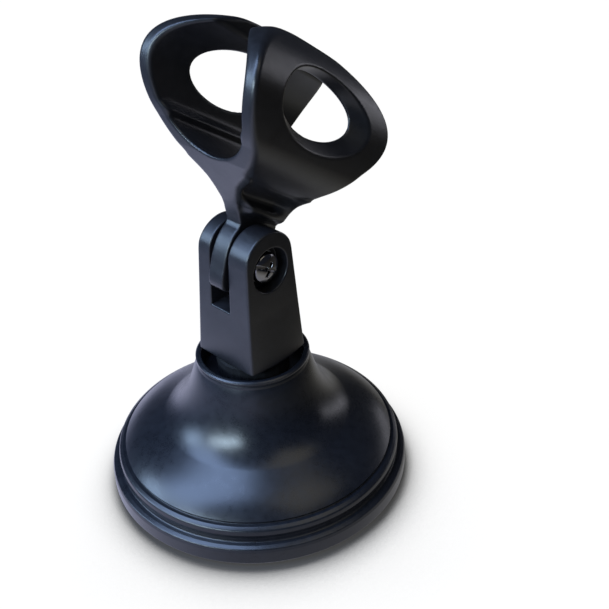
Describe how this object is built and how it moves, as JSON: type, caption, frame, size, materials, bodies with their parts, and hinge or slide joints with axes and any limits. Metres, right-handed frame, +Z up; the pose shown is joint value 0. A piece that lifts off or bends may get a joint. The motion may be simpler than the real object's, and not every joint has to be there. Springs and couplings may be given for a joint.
{
  "type": "desktop mic stand",
  "caption": "Weighted bell-shaped desktop microphone stand: a square swivel post stands in the collar and carries a tilting, two-petal slip-in microphone cradle on a cross screw.",
  "frame": {"origin": "centre of the footprint on the desk, level with the undersides of the rubber feet", "axes": "+Z up; the tilt hinge runs along X, with the screw head on +X; the cradle leans back towards +Y and the slot of the post faces -Y"},
  "size_m": [0.095, 0.095, 0.1437],
  "materials": {
    "black_plastic": "semi-gloss, finely textured moulding",
    "black_nylon": "satin, finely textured moulding",
    "flexible_black_plastic": "satin, slightly rubbery",
    "plate_black": "matte",
    "cast_iron": "as cast",
    "black_steel": "black oxide",
    "zinc_steel": "zinc plated",
    "brass": "machined",
    "foot_rubber": "matte",
    "friction_fibre": "pressed fibre"
  },
  "bodies": {
    "base": {"base_shell": "black_plastic", "ballast_ring": "cast_iron", "ballast_screw_1": "zinc_steel", "ballast_screw_2": "zinc_steel", "ballast_screw_3": "zinc_steel", "bottom_plate": "plate_black", "plate_screw_1": "black_steel", "plate_screw_2": "black_steel", "plate_screw_3": "black_steel", "plate_screw_4": "black_steel", "rubber_foot_1": "foot_rubber", "rubber_foot_2": "foot_rubber", "rubber_foot_3": "foot_rubber", "rubber_foot_4": "foot_rubber", "threaded_stud": "zinc_steel", "stud_washer": "zinc_steel", "stud_nut": "zinc_steel"},
    "post": {"swivel_post": "black_nylon", "thread_insert": "brass", "pivot_nut": "black_steel", "friction_washer_left": "friction_fibre", "friction_washer_right": "friction_fibre"},
    "clip": {"mic_clip": "flexible_black_plastic"},
    "tension_screw": {"pivot_bolt": "black_steel", "flat_washer": "black_steel", "spring_washer": "black_steel"}
  },
  "joints": [
    {"name": "post_swivel", "type": "hinge", "parent": "base", "child": "post", "pos_m": [0, 0, 0.0436], "axis": [0, 0, 1], "range_deg": [-180, 180]},
    {"name": "clip_tilt", "type": "hinge", "parent": "post", "child": "clip", "pos_m": [0, 0, 0.0757], "axis": [1, 0, 0], "range_deg": [-55.5, 124.5]},
    {"name": "tension_screw_turn", "type": "hinge", "parent": "post", "child": "tension_screw", "pos_m": [0, 0, 0.0757], "axis": [1, 0, 0], "range_deg": [-180, 180]}
  ]
}
